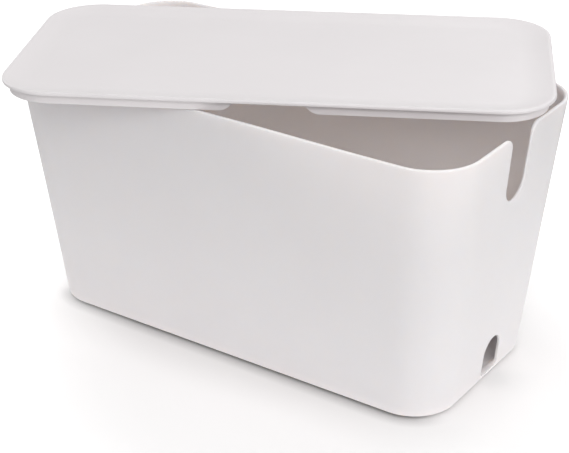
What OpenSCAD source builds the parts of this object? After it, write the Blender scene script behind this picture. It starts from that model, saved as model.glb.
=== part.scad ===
// Cable management box: a drafted, round-cornered tub with a cable slot and a cable
// arch in each end wall, a dished lid with a locating skirt, and four glued feet.
// The lid lies turned across the rim, as it is left while cables are being put in. The
// origin is under the middle of the lid, on the table.

/* [Tub] */
// Length over the rim
rim_length = 465; // [380:1:560]
// Width over the rim
rim_width = 234; // [190:1:300]
// Height from the underside to the rim
tub_height = 239; // [160:1:300]
// Lean of the walls from upright, in degrees
draft = 5.4; // [2:0.1:7]
// Plan radius of the corners at the rim
rim_corner_r = 45.5; // [42:0.5:60]
// Plan radius of the corners at the underside
base_corner_r = 40.5; // [30:0.5:45]
// Thickness of the walls
wall = 2.6; // [2:0.1:4]
// Thickness of the floor
floor_t = 2.8; // [2:0.1:5]
// Radius where the walls meet the underside
base_edge_r = 2.5; // [1:0.1:5]
// Radius where the walls meet the floor inside
floor_edge_r = 6; // [2:0.5:10]
// Radius of the two edges of the rim
rim_edge_r = 0.9; // [0.3:0.1:0.9]
// How far each thin long wall draws in at the middle of its rim
wall_bow = 4; // [0:0.5:8]

/* [Cable slot in each end wall] */
// Width across the round bottom of the slot
slot_width = 31.6; // [20:0.2:40]
// Depth below the rim
slot_depth = 62.5; // [40:0.5:90]
// Widening of each side towards the rim, in degrees
slot_flare = 2; // [0:0.5:6]
// Radius that turns each side into the rim
slot_mouth_r = 11; // [4:0.5:16]

/* [Cable arch low in each end wall] */
// Width of the arch, whose crown is a half circle
arch_width = 29.3; // [20:0.1:40]
// Height of the opening from its sill to its crown
arch_height = 35.4; // [28:0.2:60]
// Height of the sill over the floor inside
arch_sill = 0.8; // [0.5:0.1:10]
// Radius of the two lower corners
arch_corner_r = 4.5; // [1:0.5:9]
// Distance from the middle of the wall towards the rear
arch_offset = 8; // [-20:0.5:20]

/* [Lid] */
// How far the lip stands out past the rim when the lid is seated
lip_overhang = 2; // [0.5:0.1:5]
// Thickness of the lip
lip_t = 2.6; // [2:0.1:4]
// Radius at the top of the lip's edge
lip_edge_r = 1.8; // [0.5:0.1:1.9]
// Width of the level top of the lip
lip_land = 3.2; // [2.8:0.1:6]
// Depth of the tray below the lip
dish_depth = 4.2; // [2:0.1:8]
// Width of the hollow slope between the lip and the flat of the tray
dish_run = 24; // [12:1:32]
// Thickness of the tray
plate_t = 2.4; // [1.8:0.1:3.5]

/* [Lid skirt] */
// Height of the skirt below the lip
skirt_height = 9.4; // [7:0.1:16]
// Thickness of the skirt
skirt_t = 2.2; // [1.5:0.1:3]
// Clearance between the skirt and the wall at the rim when seated
skirt_clearance = 0.6; // [0.3:0.1:2]
// Lean of the skirt from upright, in degrees
skirt_draft = 3; // [1:0.5:5]
// Width of the break in the skirt at the middle of each long side
skirt_break = 84; // [50:1:140]
// Radius at each end of the break
skirt_end_r = 13; // [8:0.5:20]

/* [Feet] */
// Diameter of a foot
foot_d = 16; // [10:0.5:24]
// Height that the feet hold the tub off the table
foot_stand = 2; // [1:0.1:6]
// Depth of the recess that each foot is glued into
foot_recess = 0.6; // [0.3:0.1:1.2]
// Clearance round a foot in its recess
foot_clearance = 0.4; // [0.3:0.1:1]
// Chamfer at the lower edge of a foot
foot_chamfer = 0.5; // [0.2:0.1:0.8]
// Distance from a foot's centre to the sides of the underside
foot_inset = 30; // [22:1:45]

/* [How the lid lies] */
// Turn of the lid on the rim, in degrees
lid_turn = 27.6; // [15:0.1:40]
// Shift of the tub's middle to the right of the lid's
tub_shift_x = 10.8; // [-20:0.1:20]
// Shift of the tub's middle in front of the lid's
tub_shift_y = 17.2; // [-20:0.1:20]
// Clearance between the skirt and the rim that it lies on
lid_rest_gap = 0.3; // [0.2:0.1:1]

/* [Hidden] */

corner_steps = 16;
bow_steps = 12;
edge_steps = 6;
dish_steps = 8;
arc_steps = 12;
mouth_turn = 80; // angle that the mouth turns through before it meets the rim
cut = 1; // how far a cutter runs past the face it opens
$fn = 64;

lean = tan(draft);
base_length = rim_length - 2 * tub_height * lean;
base_width = rim_width - 2 * tub_height * lean;
rim_z = foot_stand + tub_height;

lid_length = rim_length + 2 * lip_overhang;
lid_width = rim_width + 2 * lip_overhang;
lid_corner_r = rim_corner_r + lip_overhang;
lip_z = rim_z + lid_rest_gap + skirt_height; // underside of the lip
skirt_inset = lip_overhang + wall + skirt_clearance;

// Closed outline of a rounded rectangle at height z, anticlockwise from above. Its long
// sides draw in by a bow, shared out over a number of side steps.
function outline(length, width, r, z, bow = 0, side_steps = 1) = [
    for (q = [0:3])
        let (
            side_x = (q == 0 || q == 3) ? 1 : -1,
            side_y = q < 2 ? 1 : -1,
            flat = length / 2 - r
        )
        each concat(
            [
                for (i = [0:corner_steps])
                    let (a = 90 * (q + i / corner_steps))
                    [side_x * flat + r * cos(a), side_y * (width / 2 - r) + r * sin(a), z]
            ],
            q % 2 == 1 ? [] : [
                for (i = [1:1:side_steps - 1])
                    let (x = side_x * flat * (1 - 2 * i / side_steps))
                    [x, side_y * (width / 2 - bow * (1 + cos(180 * x / flat)) / 2), z]
            ]
        )
];

// Section of the tub at height z over its underside, drawn in from its outer face
function tub_section(z, inset) =
    let (
        k = z / tub_height,
        r = base_corner_r + (rim_corner_r - base_corner_r) * k
    )
    outline(
        base_length + 2 * z * lean - 2 * inset,
        base_width + 2 * z * lean - 2 * inset,
        r - inset,
        foot_stand + z,
        wall_bow * k,
        bow_steps
    );

// Section of the lid at height z over the underside of its lip, drawn in from its edge
function lid_section(z, inset) =
    outline(lid_length - 2 * inset, lid_width - 2 * inset, lid_corner_r - inset, z);

// Solid through a stack of sections; closed on itself, or capped at both ends
module loft(sections, ring = false) {
    n = len(sections[0]);
    m = len(sections);
    last = ring ? m - 1 : m - 2;
    skin = [
        for (k = [0:last], i = [0:n - 1])
            let (a = k * n, b = ((k + 1) % m) * n, j = (i + 1) % n)
            each [[a + i, b + i, b + j], [a + i, b + j, a + j]]
    ];
    caps = ring ? [] : [
        [for (i = [0:n - 1]) i],
        [for (i = [n - 1:-1:0]) (m - 1) * n + i]
    ];
    polyhedron(points = [for (s = sections) each s], faces = concat(skin, caps), convexity = 8);
}

// Quarter turn of an edge: height and inset at each step, from the outer face to the top
function outer_edge(top_z, r) = [
    for (i = [0:edge_steps])
        let (a = 90 * i / edge_steps)
        [top_z - r * (1 - sin(a)), r * (1 - cos(a))]
];

// Shell of the tub: underside, lower edge, outer face, rounded rim, inner face and floor
module tub_shell() {
    rim = outer_edge(tub_height, rim_edge_r);
    loft(concat(
        [
            for (i = [0:edge_steps])
                let (a = 90 * i / edge_steps)
                tub_section(base_edge_r * (1 - cos(a)), base_edge_r * (1 - sin(a)))
        ],
        [for (p = rim) tub_section(p[0], p[1])],
        [for (i = [edge_steps:-1:0]) tub_section(rim[i][0], wall - rim[i][1])],
        [
            for (i = [0:edge_steps])
                let (a = 90 * i / edge_steps)
                tub_section(
                    floor_t + floor_edge_r * (1 - sin(a)),
                    wall + floor_edge_r * (1 - cos(a))
                )
        ]
    ));
}

// Points on an arc in a face: centre, radius and the two angles it runs between
function arc(centre, r, from, to) = [
    for (i = [0:arc_steps])
        centre + r * [
            cos(from + (to - from) * i / arc_steps),
            sin(from + (to - from) * i / arc_steps)
        ]
];

// Points mirrored to the other side of the middle line, in reverse order
function mirrored(points) =
    [for (i = [len(points) - 1:-1:0]) [-points[i][0], points[i][1]]];

// Face of the cable slot, in the plane of an end wall: across and up from the underside
module slot_face() {
    r = slot_width / 2;
    bottom_z = tub_height - slot_depth + r;
    mouth_z = tub_height - slot_mouth_r * sin(mouth_turn);
    mouth_y = (r + (mouth_z - bottom_z) * sin(slot_flare) + slot_mouth_r) / cos(slot_flare);
    side = concat(
        arc([0, bottom_z], r, -90, -slot_flare),
        arc([mouth_y, mouth_z], slot_mouth_r, 180 - slot_flare, 90),
        [[mouth_y + slot_mouth_r, tub_height + cut]]
    );
    polygon(concat(side, mirrored([for (i = [1:len(side) - 1]) side[i]])));
}

// Face of the cable arch, in the plane of an end wall
module arch_face() {
    r = arch_width / 2;
    sill_z = floor_t + arch_sill;
    crown_z = sill_z + arch_height - r;
    side = concat(
        arc([r - arch_corner_r, sill_z + arch_corner_r], arch_corner_r, -90, 0),
        arc([0, crown_z], r, 0, 90)
    );
    translate([arch_offset, 0])
        polygon(concat(side, mirrored([for (i = [0:len(side) - 2]) side[i]])));
}

// Centre of the recess and foot at each corner of the underside
function foot_place(side_x, side_y) = [
    side_x * (base_length / 2 - foot_inset),
    side_y * (base_width / 2 - foot_inset)
];

// Places the tub and its feet under the lid
module under_lid() {
    translate([tub_shift_x, -tub_shift_y, 0]) children();
}

module tub() {
    cutter_start = base_length / 2 - floor_edge_r - 2 * wall;
    cutter_length = rim_length / 2 + cut - cutter_start;
    color("whitesmoke")
        under_lid()
            difference() {
                tub_shell();
                for (side = [0, 1])
                    mirror([side, 0, 0])
                        translate([cutter_start, 0, foot_stand])
                            rotate([90, 0, 90])
                                linear_extrude(cutter_length) {
                                    slot_face();
                                    arch_face();
                                }
                for (side_x = [-1, 1], side_y = [-1, 1])
                    translate(concat(foot_place(side_x, side_y), [foot_stand - cut]))
                        cylinder(d = foot_d + 2 * foot_clearance, h = foot_recess + cut);
            }
}

// Height of the tray's upper face at a distance in from the lip's edge
function dish_z(inset) =
    let (s = min(1, (inset - lip_land) / dish_run))
    lip_t - dish_depth * (1 - pow(1 - s, 2));

// Tray and lip of the lid: underside, edge of the lip and dished upper face
module lid_tray() {
    run = [for (i = [0:dish_steps]) lip_land + dish_run * i / dish_steps];
    loft(concat(
        [
            for (i = [dish_steps:-1:1])
                lid_section(min(0, dish_z(run[i]) - plate_t), run[i])
        ],
        [lid_section(0, 0)],
        [for (p = outer_edge(lip_t, lip_edge_r)) lid_section(p[0], p[1])],
        [for (d = run) lid_section(dish_z(d), d)]
    ));
}

// Skirt, rooted in the middle of the plate's thickness and open at the middle of each
// long side
module lid_skirt() {
    lean_in = skirt_height * tan(skirt_draft);
    inner = skirt_inset + skirt_t;
    break_depth = inner + lean_in + cut;
    difference() {
        loft(
            [
                lid_section(-skirt_height, skirt_inset + lean_in),
                lid_section(dish_z(skirt_inset) - plate_t / 2, skirt_inset),
                lid_section(dish_z(inner) - plate_t / 2, inner),
                lid_section(-skirt_height, inner + lean_in)
            ],
            ring = true
        );
        for (side = [0, 1])
            mirror([0, side, 0])
                translate([0, -lid_width / 2, 0])
                    rotate([-90, 0, 0])
                        linear_extrude(break_depth)
                            skirt_break_face();
    }
}

// Face of the break in the skirt: along the lid, and down from the lip
module skirt_break_face() {
    half = skirt_break / 2;
    difference() {
        translate([-half, -cut]) square([skirt_break, skirt_height + 2 * cut]);
        for (side = [-1, 1])
            translate([side * half, skirt_height - skirt_end_r]) circle(skirt_end_r);
    }
}

module lid() {
    color("white")
        translate([0, 0, lip_z])
            rotate([0, 0, lid_turn]) {
                lid_tray();
                lid_skirt();
            }
}

// One foot: a rubber disc with a chamfered lower edge, standing on the table
module foot(side_x, side_y) {
    r = foot_d / 2;
    color("gainsboro")
        under_lid()
            translate(concat(foot_place(side_x, side_y), [0]))
                rotate_extrude()
                    polygon([
                        [0, 0],
                        [r - foot_chamfer, 0],
                        [r, foot_chamfer],
                        [r, foot_stand + foot_recess],
                        [0, foot_stand + foot_recess]
                    ]);
}

tub();
lid();
foot(-1, -1);  // foot_front_left
foot(1, -1);  // foot_front_right
foot(-1, 1);  // foot_rear_left
foot(1, 1);  // foot_rear_right
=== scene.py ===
# A cable management box of moulded plastic: a deep tub with a cable slot and a cable arch
# in each end wall, and a loose dished lid that lies turned across the rim.
import math

import bpy
from mathutils import Matrix, Vector
from mathutils.geometry import delaunay_2d_cdt


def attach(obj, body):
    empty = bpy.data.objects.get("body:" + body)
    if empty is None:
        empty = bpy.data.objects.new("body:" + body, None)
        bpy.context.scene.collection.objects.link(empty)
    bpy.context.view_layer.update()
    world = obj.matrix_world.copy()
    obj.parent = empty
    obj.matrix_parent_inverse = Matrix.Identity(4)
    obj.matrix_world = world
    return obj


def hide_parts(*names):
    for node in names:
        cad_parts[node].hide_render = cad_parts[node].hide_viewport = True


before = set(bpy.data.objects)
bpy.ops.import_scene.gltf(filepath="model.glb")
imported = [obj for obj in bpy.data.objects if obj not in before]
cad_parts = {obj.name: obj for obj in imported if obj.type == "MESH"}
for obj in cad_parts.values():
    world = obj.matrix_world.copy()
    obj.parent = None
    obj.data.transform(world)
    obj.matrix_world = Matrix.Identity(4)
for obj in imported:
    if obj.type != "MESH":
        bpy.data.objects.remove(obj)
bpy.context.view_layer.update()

# --- Tub ---------------------------------------------------------------------------------
# One injection moulding of satin warm-white polypropylene. Its thin walls lean outwards, its
# corners are generously round, and its rim is rounded off and runs down into the two slots.
rim_length, rim_width, tub_height = 465, 234, 239
rim_corner_r, base_corner_r = 45.5, 40.5
wall, rim_t, floor_t = 2.6, 3.4, 2.8
swell_end, swell_run = 3, 9  # below the rim, the wall thickens to rim_t over this run
base_edge_r, floor_edge_r, rim_edge_r, arch_edge_r = 2.5, 6, 1.3, 0.45
wall_bow = 4
lean = math.tan(math.radians(5.4))
foot_stand, foot_recess, foot_gap = 2, 0.6, 0.4
foot_d, foot_inset = 16, 30
base_length = rim_length - 2 * tub_height * lean
base_width = rim_width - 2 * tub_height * lean
foot_places = [
    (x * (base_length / 2 - foot_inset), y * (base_width / 2 - foot_inset))
    for x in (-1, 1) for y in (-1, 1)
]
corner_growth = (rim_corner_r - base_corner_r) / tub_height
corner_steps, bow_steps, quarter_steps = 40, 48, 6
tub_placing = Matrix.Translation((10.8, -17.2, 0))  # from the lid's middle to the tub's


class Skin:
    """The surface of one piece, gathered point by point with its true normals, in mm."""

    same_place = 0.002  # points nearer than this are one corner of a face

    def __init__(self):
        self.points, self.normals, self.faces, self.known = [], [], [], {}

    def point(self, place, normal):
        """The number of a point, the same for the same place and normal."""
        normal = Vector(normal).normalized()
        key = tuple(round(v, 3) for v in (*place, *normal))
        if key not in self.known:
            self.known[key] = len(self.points)
            self.points.append(Vector(place))
            self.normals.append(normal)
        return self.known[key]

    def face(self, corners):
        """One face, turned the way that its normals point."""
        corners = [
            c for i, c in enumerate(corners)
            if (self.points[c] - self.points[corners[i - 1]]).length > self.same_place
        ]
        if len(corners) < 3:
            return
        facing = Vector((0, 0, 0))
        for i, c in enumerate(corners):
            facing += self.points[corners[i - 1]].cross(self.points[c])
        if facing.dot(sum((self.normals[c] for c in corners), Vector((0, 0, 0)))) < 0:
            corners.reverse()
        self.faces.append(corners)

    def strip(self, one, other):
        """Faces between two lines of points."""
        for i in range(len(one) - 1):
            self.face([one[i], one[i + 1], other[i + 1], other[i]])

    def piece(self, name, material, placing):
        """The finished piece, placed on the table, in metres."""
        turn = placing.to_3x3()
        mesh = bpy.data.meshes.new(name)
        mesh.from_pydata([(placing @ p) * 0.001 for p in self.points], [], self.faces)
        mesh.materials.append(material)
        mesh.shade_smooth()
        mesh.normals_split_custom_set_from_vertices([turn @ n for n in self.normals])
        made = bpy.data.objects.new(name, mesh)
        bpy.context.scene.collection.objects.link(made)
        return made


def bend(centre_z, centre_inset, r, start, end, steps, hollow=False):
    """Rows of a section round a bend: height, inset, and how both run on from there."""
    way = -1 if hollow else 1
    rows = []
    for i in range(steps + 1):
        a = math.radians(start + (end - start) * i / steps)
        c, s = math.cos(a), math.sin(a)
        rows.append((centre_z + r * s, centre_inset - r * c, way * c, way * s))
    return rows


def corner_columns(steps):
    """Side, side and direction of each column of points round the four corners."""
    columns = []
    for q in range(4):
        for i in range(steps + 1):
            a = math.radians(90 * i / steps)
            c, s = math.cos(a), math.sin(a) if i else 0
            if i == steps:
                c = 0
            side = (1 if q in (0, 3) else -1, 1 if q < 2 else -1)
            columns.append((*side, *((c, s), (-s, c), (-c, -s), (s, -c))[q]))
    return columns


def tub_columns():
    """Columns round the tub: place along its flats, side and direction. The long walls bow."""
    n = corner_steps + 1
    corners = corner_columns(corner_steps)
    along = [1 - 2 * i / bow_steps for i in range(1, bow_steps)]
    return (
        corners[:n] + [(u, 1, 0, 1) for u in along]
        + corners[n:3 * n] + [(-u, -1, 0, -1) for u in along] + corners[3 * n:]
    )


def tub_point(skin, row, column):
    """A point of the tub, at a row of its section and a column round it."""
    z, inset, rise, run_in = row
    u, side_y, c, s = column
    r = base_corner_r + corner_growth * z
    flat = base_length / 2 + z * lean - r
    bow = wall_bow / tub_height * (1 + math.cos(math.pi * u)) / 2
    turn = -wall_bow * z / tub_height * math.sin(math.pi * u) * math.pi / flat / 2
    out = (lean - corner_growth) * (abs(c) + abs(s)) + corner_growth - bow
    return skin.point(
        (
            u * flat + (r - inset) * c,
            side_y * (base_width / 2 + z * (lean - bow) - r) + (r - inset) * s,
            foot_stand + z,
        ),
        (rise * (c + turn), rise * s, run_in - rise * out),
    )


def end_point(skin, end, y, z, inset, normal):
    """A point on the flat of an end wall, whose normal is given as if the wall were upright."""
    out, along, up = normal
    return skin.point(
        (end * (base_length / 2 + z * lean - inset), y, foot_stand + z),
        (end * out, along, up - lean * out),
    )


def rim_swell(z):
    """How much the wall is thicker inwards near the rim, and how fast that grows upwards."""
    s = min(1, max(0, (z - tub_height + swell_end + swell_run) / swell_run))
    return (rim_t - wall) * s * s * (3 - 2 * s), (rim_t - wall) * 6 * s * (1 - s) / swell_run


def inner_face(z):
    """Inset and normal of an end wall's inner face, which curves into the floor at its foot."""
    if z >= floor_t + floor_edge_r:
        swell, growth = rim_swell(z)
        return wall + swell, (-1, 0, -growth)
    up = 1 - (z - floor_t) / floor_edge_r
    across = math.sqrt(max(0, 1 - up * up))
    return wall + floor_edge_r * (1 - across), (-across, 0, up)


def flat_half(z):
    """Half the width of the flat of an end wall."""
    return base_width / 2 + z * lean - base_corner_r - corner_growth * z


def inside(y, z, loop):
    """Whether a point lies within a closed loop."""
    hit = False
    for i in range(len(loop)):
        (ay, az), (by, bz) = loop[i - 1], loop[i]
        if (az > z) != (bz > z) and y < ay + (z - az) * (by - ay) / (bz - az):
            hit = not hit
    return hit


def filled(loop, holes, heights=()):
    """Triangles that fill a loop round its holes, parted where they cross one of the heights."""
    corners, edges = [], []
    for ring in (loop, *holes):
        first = len(corners)
        corners += [Vector(p) for p in ring]
        edges += [(first + i, first + (i + 1) % len(ring)) for i in range(len(ring))]
    for z in heights:
        corners += [Vector((-flat_half(z), z)), Vector((flat_half(z), z))]
        edges.append((len(corners) - 2, len(corners) - 1))
    verts, _, faces, *_ = delaunay_2d_cdt(corners, edges, [], 0, 1e-4)
    least = 1e-3  # slivers along a straight side are smaller
    kept = []
    for face in faces:
        a, b, c = (verts[i] for i in face)
        middle = (a + b + c) / 3
        in_hole = any(inside(*middle, hole) for hole in holes)
        if abs((b - a).cross(c - a)) > least and inside(*middle, loop) and not in_hole:
            kept.append((a, b, c))
    return kept


def arc(centre, r, start, end, steps, way):
    """Points on an edge's bend, each with the direction into the plastic."""
    points = []
    for i in range(steps + 1):
        a = math.radians(start + (end - start) * i / steps)
        c, s = math.cos(a), math.sin(a)
        points.append((centre[0] + r * c, centre[1] + r * s, way * c, way * s))
    return points


def rounded_edge(r, thick):
    """An edge rounded from one face to the other: inset, set-back, and direction out."""
    steps = []
    for depth, side, first in ((0, 1, 0), (thick, -1, quarter_steps)):
        for i in range(first, first + quarter_steps + 1):
            a = math.radians(90 * i / quarter_steps)
            c, s = math.cos(a), math.sin(a)
            steps.append((depth + side * r - r * c, r * (1 - s), c, s))
    return steps


def mirrored(points):
    """Points on the other side of the middle, in reverse order."""
    return [(-y, z, -ny, nz) for y, z, ny, nz in reversed(points)]


def crossed(edge, heights, back=0):
    """The same edge, with a point more wherever it crosses one of the heights."""
    made = [edge[0]]
    for one, other in zip(edge, edge[1:]):
        start, end = one[1] + back * one[3], other[1] + back * other[3]
        between = [z for z in heights if min(start, end) < z < max(start, end)]
        for z in sorted(between, reverse=start > end):
            share = (z - start) / (end - start)
            made.append(tuple(a + (b - a) * share for a, b in zip(one, other)))
        made.append(other)
    return made


def slot_edge():
    """The rim over an end wall's flat, down into the cable slot and up again."""
    r, depth, flare, mouth_r = 15.8, 62.5, 2, 11
    bottom_z, mouth_z = tub_height - depth + r, tub_height - mouth_r
    run_out = (mouth_z - bottom_z) * math.sin(math.radians(flare))
    mouth_y = (r + run_out + mouth_r) / math.cos(math.radians(flare))
    side = (
        arc((0, bottom_z), r, -90, -flare, 32, 1)
        + arc((mouth_y, mouth_z), mouth_r, 180 - flare, 90, 24, -1)
        + [(flat_half(tub_height), tub_height, 0, -1)]
    )
    return mirrored(side) + side[1:]


def arch_edge():
    """The closed edge of the cable arch, low in an end wall."""
    r, height, corner_r, sill, to_rear = 29.3 / 2, 35.4, 4.5, 0.8, 8
    sill_z = floor_t + sill
    side = (
        arc((r - corner_r, sill_z + corner_r), corner_r, -90, 0, 12, 1)
        + arc((0, sill_z + height - r), r, 0, 90, 28, 1)
    )
    edge = side + mirrored(side)[1:]
    return [(y + to_rear, z, ny, nz) for y, z, ny, nz in edge + edge[:1]]


def build_tub(material):
    skin = Skin()
    columns = tub_columns()

    # Section from the underside up the outer face, over the rim and down to the floor
    under = bend(base_edge_r, base_edge_r, base_edge_r, -90, 0, 8)
    rim_steps = [
        (*step, i > quarter_steps) for i, step in enumerate(rounded_edge(rim_edge_r, wall))
    ]
    rim = [
        (tub_height - back, inset + (rim_t - wall) * inner_half, rise, run_in)
        for inset, back, rise, run_in, inner_half in rim_steps
    ]
    foot_of_wall = bend(
        floor_t + floor_edge_r, wall + floor_edge_r, floor_edge_r, 0, -90, 10, True
    )
    top, low = tub_height - rim_edge_r, floor_t + floor_edge_r
    outer = [(base_edge_r + (top - base_edge_r) * i / 12, 0, 1, 0) for i in range(13)]
    swollen = [tub_height - swell_end - swell_run * i / 6 for i in range(7)]
    plain = [swollen[-1] + (low - swollen[-1]) * i / 10 for i in range(1, 11)]
    inner = [
        (z, wall + rim_swell(z)[0], -1, -rim_swell(z)[1]) for z in [top] + swollen + plain
    ]
    for rows in (under, outer, rim, inner, foot_of_wall):
        lines = [[tub_point(skin, row, column) for column in columns] for row in rows]
        for lower, upper in zip(lines, lines[1:]):
            for j in range(len(columns)):
                k = (j + 1) % len(columns)
                if rows is not under and columns[j][3] == columns[k][3] == 0:
                    continue  # the flat of an end wall
                skin.face([lower[j], lower[k], upper[k], upper[j]])

    # The slot is rounded off on both faces of its wall, the arch on the outer one only
    bent = [row[0] for row in foot_of_wall[:-1]]
    slot = crossed(slot_edge(), swollen, rim_edge_r)
    arch = crossed(arch_edge(), bent)

    def ring(edge, inset, back, c, s, inner_half=False):
        """Points round an edge, at one step of its rounding."""
        made = []
        for i, (y, z, ny, nz) in enumerate(edge):
            y2, z2 = y + back * ny, z + back * nz
            if edge is slot and i in (0, len(edge) - 1):
                y2 = math.copysign(flat_half(z2), y)
            swell, growth = rim_swell(z2) if inner_half else (0, 0)
            made.append((y2, z2, inset + swell, (c, -s * ny, growth * c - s * nz)))
        return made

    slot_rings = [ring(slot, *step) for step in rim_steps]
    arch_steps = rounded_edge(arch_edge_r, wall)[:quarter_steps + 1]
    arch_rings = [ring(arch, *step) for step in arch_steps]
    arch_rings.append([(y, z, inner_face(z)[0], (0, -ny, -nz)) for y, z, ny, nz in arch])

    # The flat of each end wall between them, outside and inside
    def loop(over, down=()):
        """The loop of an edge and of what runs down from it on both sides."""
        right = [(flat_half(row[0]), row[0]) for row in down]
        return [point[:2] for point in over] + right + [(-y, z) for y, z in reversed(right)]

    outer_flat = filled(loop(slot_rings[0], outer[-2::-1]), [loop(arch_rings[0][:-1])])
    inner_flat = filled(
        loop(slot_rings[-1], inner[1:-1] + foot_of_wall), [loop(arch_rings[-1][:-1])],
        swollen + bent,
    )
    for end in (1, -1):
        for rings in (slot_rings, arch_rings):
            lines = [[end_point(skin, end, *point) for point in points] for points in rings]
            for one, other in zip(lines, lines[1:]):
                skin.strip(one, other)
        for corners in outer_flat:
            skin.face([end_point(skin, end, y, z, 0, (1, 0, 0)) for y, z in corners])
        for corners in inner_flat:
            skin.face([end_point(skin, end, y, z, *inner_face(z)) for y, z in corners])

    # Floor, and the underside with a shallow round recess for each foot
    skin.face([tub_point(skin, foot_of_wall[-1], column) for column in columns])
    edge = [skin.points[tub_point(skin, under[0], column)].xy for column in columns]
    recesses = []
    recess_r, recess_z = foot_d / 2 + foot_gap, foot_stand + foot_recess
    for x, y in foot_places:
        recesses.append([])
        lower, upper, roof = [], [], []
        for i in range(48):
            a = math.tau * i / 48
            c, s = math.cos(a), math.sin(a)
            at = (x + recess_r * c, y + recess_r * s)
            recesses[-1].append(at)
            lower.append(skin.point((*at, foot_stand), (-c, -s, 0)))
            upper.append(skin.point((*at, recess_z), (-c, -s, 0)))
            roof.append(skin.point((*at, recess_z), (0, 0, -1)))
        skin.strip(lower + lower[:1], upper + upper[:1])
        skin.face(roof)
    for corners in filled(edge, recesses):
        skin.face([skin.point((*p, foot_stand), (0, 0, -1)) for p in corners])
    return skin.piece("tub_moulding", material, tub_placing)


def satin_plastic(name, colour, let_in):
    """Moulded plastic with a very fine grain. A share of the light gets a little way in."""
    made = bpy.data.materials.new(name)
    made.use_nodes = True
    nodes, links = made.node_tree.nodes, made.node_tree.links
    body = nodes["Principled BSDF"]
    body.inputs["IOR"].default_value = 1.49
    body.inputs["Subsurface Weight"].default_value = let_in
    body.inputs["Subsurface Radius"].default_value = (1, 0.92, 0.84)
    body.inputs["Subsurface Scale"].default_value = 0.008
    place = nodes.new("ShaderNodeTexCoord").outputs["Object"]

    def noise(scale, detail):
        """Soft noise over the piece, the finer the larger the scale."""
        tex = nodes.new("ShaderNodeTexNoise")
        tex.inputs["Scale"].default_value = scale
        tex.inputs["Detail"].default_value = detail
        links.new(place, tex.inputs["Vector"])
        return tex.outputs["Fac"]

    def spread(fac, low, high):
        """Most of the noise, stretched from one value to the other."""
        ramp = nodes.new("ShaderNodeMapRange")
        ramp.inputs["From Min"].default_value = 0.3
        ramp.inputs["From Max"].default_value = 0.7
        ramp.inputs["To Min"].default_value = low
        ramp.inputs["To Max"].default_value = high
        links.new(fac, ramp.inputs["Value"])
        return ramp.outputs["Result"]

    # Its tone varies slowly over the moulding, its gloss over a few centimetres
    tone = nodes.new("ShaderNodeMix")
    tone.data_type = "RGBA"
    tone.inputs["A"].default_value = (*[v * 0.985 for v in colour], 1)
    tone.inputs["B"].default_value = (*[min(1, v * 1.01) for v in colour], 1)
    links.new(spread(noise(9, 3), 0, 1), tone.inputs["Factor"])
    links.new(tone.outputs["Result"], body.inputs["Base Color"])
    links.new(spread(noise(60, 4), 0.42, 0.5), body.inputs["Roughness"])
    grain = nodes.new("ShaderNodeBump")
    grain.inputs["Strength"].default_value = 0.25
    grain.inputs["Distance"].default_value = 0.00004
    links.new(noise(2600, 2), grain.inputs["Height"])
    links.new(grain.outputs["Normal"], body.inputs["Normal"])
    return made


tub = build_tub(satin_plastic("tub_satin_plastic", (0.885, 0.815, 0.812), 1))
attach(tub, "tub")
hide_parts("tub")

# --- Lid ---------------------------------------------------------------------------------
# A second moulding of the same plastic: a shallow tray in a thin round lip, with a skirt
# underneath that drops inside the tub's rim. It lies loose on the rim, turned across it.
lip_overhang, lid_gap, lid_turn = 2, 0.3, math.radians(27.6)
lid_length, lid_width = rim_length + 2 * lip_overhang, rim_width + 2 * lip_overhang
lid_corner_r = rim_corner_r + lip_overhang
lip_t, lip_land, lip_edge_r = 2.6, 3.2, 1.8
drip, drip_start, drip_end, drip_r = 0.5, 2.4, 0.8, 0.3  # the turned-down edge of the lip
dish_depth, dish_run, plate_t = 4.2, 24, 2.4
skirt_height, skirt_t, skirt_inset, skirt_edge_r = 9.4, 2.2, 5.2, 0.35
skirt_lean = math.tan(math.radians(3))
break_half, break_r = 42, 13
lid_z = foot_stand + tub_height + lid_gap + skirt_height
lid_placing = Matrix.Translation((0, 0, lid_z)) @ Matrix.Rotation(lid_turn, 4, "Z")


def dish(inset):
    """Height and slope of the tray's upper face at a distance in from the lip's edge."""
    s = min(1, max(0, (inset - lip_land) / dish_run))
    return lip_t - dish_depth * (1 - (1 - s) ** 2), -2 * dish_depth * (1 - s) / dish_run


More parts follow.
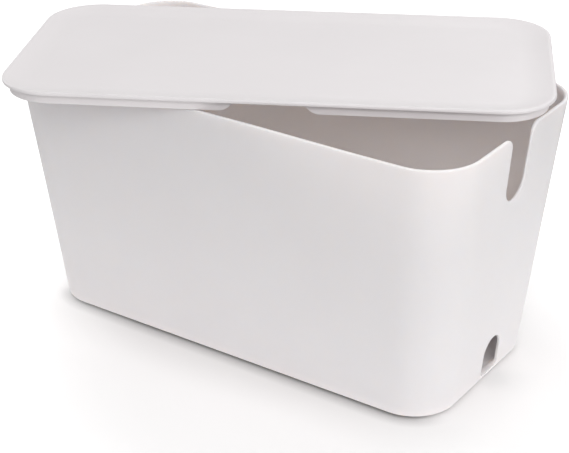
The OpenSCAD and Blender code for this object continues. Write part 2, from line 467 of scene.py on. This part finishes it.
def build_lid(material):
    skin = Skin()
    columns = corner_columns(corner_steps)

    def lid_point(row, column):
        """A point of the tray or the lip, at a row of its section and a column round it."""
        z, inset, rise, run_in = row
        side_x, side_y, c, s = column
        return skin.point(
            (
                side_x * (lid_length / 2 - lid_corner_r) + (lid_corner_r - inset) * c,
                side_y * (lid_width / 2 - lid_corner_r) + (lid_corner_r - inset) * s,
                z,
            ),
            (rise * c, rise * s, run_in),
        )

    # Tray and lip, from the middle of the underside round the lip to the middle of the top
    slope = [lip_land + dish_run * i / 24 for i in range(25)]
    rows = []
    for inset in reversed(slope):
        z, fall = dish(inset)
        if z < plate_t:
            rows.append((z - plate_t, inset, -fall, -1))
    rows += [(0, lip_land, 0.1, -1), (0, drip_start, 0, -1), (0, drip_start, -0.31, -0.95)]
    rows += bend(drip_r - drip, drip_end, drip_r, -108, -90, 2)
    rows += bend(drip_r - drip, drip_r, drip_r, -90, 0, 4)
    rows += bend(lip_t - lip_edge_r, lip_edge_r, lip_edge_r, 0, 90, 12)
    for i, inset in enumerate(slope):
        z, fall = dish(inset)
        rows.append((z, inset, fall / 2 if i == 0 else fall, 1))
    lines = [[lid_point(row, column) for column in columns] for row in rows]
    for one, other in zip(lines, lines[1:]):
        skin.strip(one + one[:1], other + other[:1])
    skin.face(lines[0])
    skin.face(lines[-1])

    # Skirt: two lengths of wall, parted by a round-ended break in the middle of each side
    root = dish(skirt_inset)[0] - plate_t / 2
    slack = skirt_height * skirt_lean / (skirt_height + root)
    centre_x, centre_y = lid_length / 2 - lid_corner_r, lid_width / 2 - lid_corner_r
    lift = break_r - skirt_height
    last = math.degrees(math.acos((lift - root) / break_r))
    for side in (1, -1):
        stations = []  # place of the bend's centre, direction out, and way into the edge
        for end in (-1, 1):
            tip = []
            for i in range(21):
                a = math.radians(last * (1 - i / 20))
                tip.append((
                    (break_half - break_r * math.sin(a), end * centre_y, 0, end),
                    lift - break_r * math.cos(a), math.sin(a), math.cos(a),
                ))
            turn = []
            for i in range(corner_steps + 1):
                a = math.radians(90 * (i / corner_steps - 1))
                turn.append((
                    (centre_x, end * centre_y, math.cos(a), -end * math.sin(a)),
                    -skirt_height, 0, 1,
                ))
            stations += tip + turn if end < 0 else list(reversed(tip + turn))

        def skirt_point(station, depth, back, across, down, z=None):
            """A point of the skirt, so far into its wall and so far back from its edge."""
            (x, y, c, s), bottom, along, up = station
            lowest = bottom + back * up
            z = lowest if z is None else max(z, lowest)
            r = lid_corner_r - skirt_inset - slack * (root - z) - depth
            return skin.point(
                (side * (x + back * along + r * c), y + r * s, z),
                (
                    side * (across * c - down * along), across * s,
                    -down * up - slack * across,
                ),
            )

        rings = [[skirt_point(s, 0, skirt_edge_r, 1, 0, root) for s in stations]]
        for step in rounded_edge(skirt_edge_r, skirt_t):
            rings.append([skirt_point(s, *step) for s in stations])
        rings.append([skirt_point(s, skirt_t, skirt_edge_r, -1, 0, root) for s in stations])
        for one, other in zip(rings, rings[1:]):
            skin.strip(one, other)
        # Its root, which is within the plate
        rings = [[skin.point(skin.points[i], (0, 0, 1)) for i in ring] for ring in rings]
        skin.strip(rings[-1], rings[0])
        for station in (0, -1):
            skin.face([ring[station] for ring in rings])
    return skin.piece("lid_moulding", material, lid_placing)


lid = build_lid(satin_plastic("lid_satin_plastic", (0.785, 0.753, 0.761), 0))
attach(lid, "lid")
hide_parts("lid")

# --- Feet --------------------------------------------------------------------------------
# Four soft rubber discs with a broken lower edge, glued into shallow round recesses in the
# underside. They hold the tub two millimetres off the table.
foot_top, foot_edge_r = foot_stand + foot_recess, 0.5


def build_foot(name, at, material):
    skin = Skin()
    around = [(math.cos(math.tau * i / 64), math.sin(math.tau * i / 64)) for i in range(64)]
    rows = bend(foot_edge_r, foot_edge_r, foot_edge_r, -90, 0, 6) + [(foot_top, 0, 1, 0)]
    rings = []
    for z, inset, rise, run_in in rows:
        r = foot_d / 2 - inset
        rings.append([
            skin.point((at[0] + r * c, at[1] + r * s, z), (rise * c, rise * s, run_in))
            for c, s in around
        ])
    for one, other in zip(rings, rings[1:]):
        skin.strip(one + one[:1], other + other[:1])
    skin.face(rings[0])
    skin.face([skin.point(skin.points[i], (0, 0, 1)) for i in rings[-1]])
    return skin.piece(name, material, tub_placing)


def soft_rubber():
    """Grey elastomer: matt, and slightly mottled."""
    made = bpy.data.materials.new("foot_grey_rubber")
    made.use_nodes = True
    nodes, links = made.node_tree.nodes, made.node_tree.links
    body = nodes["Principled BSDF"]
    place = nodes.new("ShaderNodeTexCoord").outputs["Object"]
    mottle = nodes.new("ShaderNodeTexNoise")
    mottle.inputs["Scale"].default_value = 400
    links.new(place, mottle.inputs["Vector"])
    tone = nodes.new("ShaderNodeValToRGB")
    tone.color_ramp.elements[0].color = (0.30, 0.29, 0.28, 1)
    tone.color_ramp.elements[1].color = (0.36, 0.35, 0.34, 1)
    links.new(mottle.outputs["Fac"], tone.inputs["Fac"])
    links.new(tone.outputs["Color"], body.inputs["Base Color"])
    body.inputs["Roughness"].default_value = 0.8
    rough = nodes.new("ShaderNodeBump")
    rough.inputs["Strength"].default_value = 0.3
    rough.inputs["Distance"].default_value = 0.0001
    links.new(mottle.outputs["Fac"], rough.inputs["Height"])
    links.new(rough.outputs["Normal"], body.inputs["Normal"])
    return made


rubber = soft_rubber()
foot_names = ("foot_front_left", "foot_rear_left", "foot_front_right", "foot_rear_right")
for foot_name, at in zip(foot_names, foot_places):
    foot = build_foot(foot_name + "_disc", at, rubber)
    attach(foot, "tub")
    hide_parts(foot_name)

# --- Table, light and camera -------------------------------------------------------------
# A sheet of white paper that keeps the soft shadow, deepened close to the tub by painted shade,
# on a duller table that shows as white. A pale room lights the box, with softboxes round it, the
# left one low and the rear one the highest, and the camera is at the height of someone standing
# at the table.
sweep_half = 12
sweep_mesh = bpy.data.meshes.new("white_sweep")
sweep_mesh.from_pydata(
    [(x * sweep_half, y * sweep_half, 0) for x, y in ((-1, -1), (1, -1), (1, 1), (-1, 1))],
    [], [(0, 1, 2, 3)],
)
sweep = bpy.data.objects.new("white_sweep", sweep_mesh)
bpy.context.scene.collection.objects.link(sweep)
paper = bpy.data.materials.new("white_paper")
sweep_mesh.materials.append(paper)
paper.use_nodes = True
paper_nodes, paper_links = paper.node_tree.nodes, paper.node_tree.links
paper_body = paper_nodes["Principled BSDF"]
paper_body.inputs["Roughness"].default_value = 1
paper_body.inputs["Specular IOR Level"].default_value = 0
paper_body.inputs["Emission Color"].default_value = (1, 1, 1, 1)
paper_place = paper_nodes.new("ShaderNodeTexCoord").outputs["Object"]
paper_axes = paper_nodes.new("ShaderNodeSeparateXYZ")
paper_links.new(paper_place, paper_axes.inputs[0])
paper_seen = paper_nodes.new("ShaderNodeLightPath").outputs["Is Camera Ray"]
paper_from_box = paper_nodes.new("ShaderNodeVectorMath")
paper_from_box.operation = "DISTANCE"
paper_from_box.inputs[1].default_value = (0.1, -0.06, 0)
paper_links.new(paper_place, paper_from_box.inputs[0])
paper_far = paper_from_box.outputs["Value"]


def across_paper(source, start, end, first, last):
    """A value that changes softly from one place on the paper to another."""
    change = paper_nodes.new("ShaderNodeMapRange")
    change.interpolation_type = "SMOOTHSTEP"
    change.inputs["From Min"].default_value = start
    change.inputs["From Max"].default_value = end
    change.inputs["To Min"].default_value = first
    change.inputs["To Max"].default_value = last
    paper_links.new(source, change.inputs["Value"])
    return change.outputs["Result"]


def as_seen(value):
    """The same value, for what looks at the paper and not for the light it gives back."""
    seen = paper_nodes.new("ShaderNodeMath")
    seen.operation = "MULTIPLY"
    paper_links.new(paper_seen, seen.inputs[0])
    paper_links.new(value, seen.inputs[1])
    return seen.outputs[0]


def painted_contact_shade(tone, reach, front, elsewhere):
    """Painted shade, for the camera only: the paper darker close to the tub, by one share in
    front of it and by another elsewhere.
    """
    front_y, behind_y = -0.112, -0.085  # the foot of the front wall is between them
    # Occlusion near the tub, multiplied into the paper's colour as painted shade
    near = paper_nodes.new("ShaderNodeAmbientOcclusion")
    near.inputs["Distance"].default_value = reach
    shade = paper_nodes.new("ShaderNodeMix")
    shade.data_type = "RGBA"
    shade.blend_type = "MULTIPLY"
    share = across_paper(paper_axes.outputs["Y"], front_y, behind_y, front, elsewhere)
    paper_links.new(as_seen(share), shade.inputs["Factor"])
    paper_links.new(tone, shade.inputs["A"])
    paper_links.new(near.outputs["Color"], shade.inputs["B"])
    return shade.outputs["Result"]


# Round the box the paper shows its own tone, its traced shadows and a painted shade close to the
# tub, and further out it glows to white
paper_glow = as_seen(across_paper(paper_far, 0.17, 0.62, 0.01, 1))
paper_links.new(paper_glow, paper_body.inputs["Emission Strength"])
paper_tone_and_shade = across_paper(paper_far, 0.45, 0.75, 0.95, 0.25)
# Painted shade in the paper's colour near the tub: a wide band all round, stronger in front, and
# a tight one in front only
paper_tone_and_shade = painted_contact_shade(paper_tone_and_shade, 0.06, 0.32, 0.22)
paper_tone_and_shade = painted_contact_shade(paper_tone_and_shade, 0.013, 0.6, 0)
paper_links.new(paper_tone_and_shade, paper_body.inputs["Base Color"])

studio = bpy.data.worlds.new("studio")
bpy.context.scene.world = studio
studio.use_nodes = True
sky_nodes, sky_links = studio.node_tree.nodes, studio.node_tree.links
sky_nodes.clear()
sky_out = sky_nodes.new("ShaderNodeOutputWorld")
sky_seen = sky_nodes.new("ShaderNodeLightPath")
sky_light = sky_nodes.new("ShaderNodeBackground")
sky_light.inputs["Color"].default_value = (1, 1, 1, 1)
sky_light.inputs["Strength"].default_value = 0.666
sky_white = sky_nodes.new("ShaderNodeBackground")
sky_white.inputs["Color"].default_value = (1, 1, 1, 1)
sky_white.inputs["Strength"].default_value = 1
sky_mix = sky_nodes.new("ShaderNodeMixShader")
sky_links.new(sky_seen.outputs["Is Camera Ray"], sky_mix.inputs[0])
sky_links.new(sky_light.outputs[0], sky_mix.inputs[1])
sky_links.new(sky_white.outputs[0], sky_mix.inputs[2])
sky_links.new(sky_mix.outputs[0], sky_out.inputs["Surface"])

aim = Vector((0, 0, 0.1))
softboxes = (
    ("rear_softbox", (-0.2, 2.2, 1.8), (1.6, 1.4), 10.1),
    ("left_softbox", (-2.6, 0.1, 0.9), (1.6, 1.2), 16),
    ("front_right_softbox", (1.37, -1.63, 1.49), (1.4, 0.8), 15.4),
    ("right_softbox", (2.12, -0.19, 1.49), (1.4, 0.8), 12.1),
)
for name, place, size, power in softboxes:
    lamp = bpy.data.lights.new(name, "AREA")
    lamp.shape = "RECTANGLE"
    lamp.size, lamp.size_y = size
    lamp.energy = power
    softbox = bpy.data.objects.new(name, lamp)
    softbox.location = place
    softbox.rotation_euler = (aim - Vector(place)).to_track_quat("-Z", "Y").to_euler()
    bpy.context.scene.collection.objects.link(softbox)

camera = bpy.data.cameras.new("camera")
camera.sensor_width = 36
camera.lens = 94.577315
yaw, pitch, roll = (math.radians(v) for v in (34.721, 26.312, -0.306))
ahead = Vector((
    -math.sin(yaw) * math.cos(pitch), math.cos(yaw) * math.cos(pitch), -math.sin(pitch)
))
level = Vector((math.cos(yaw), math.sin(yaw), 0))
upright = level.cross(ahead)
across = math.cos(roll) * level + math.sin(roll) * upright
over = -math.sin(roll) * level + math.cos(roll) * upright
camera_place = Matrix((across, over, -ahead)).transposed().to_4x4()
camera_place.translation = (0.71198, -1.02996, 0.70068)
viewer = bpy.data.objects.new("camera", camera)
viewer.matrix_world = camera_place
bpy.context.scene.collection.objects.link(viewer)
bpy.context.scene.camera = viewer
bpy.context.scene.view_settings.view_transform = "Standard"
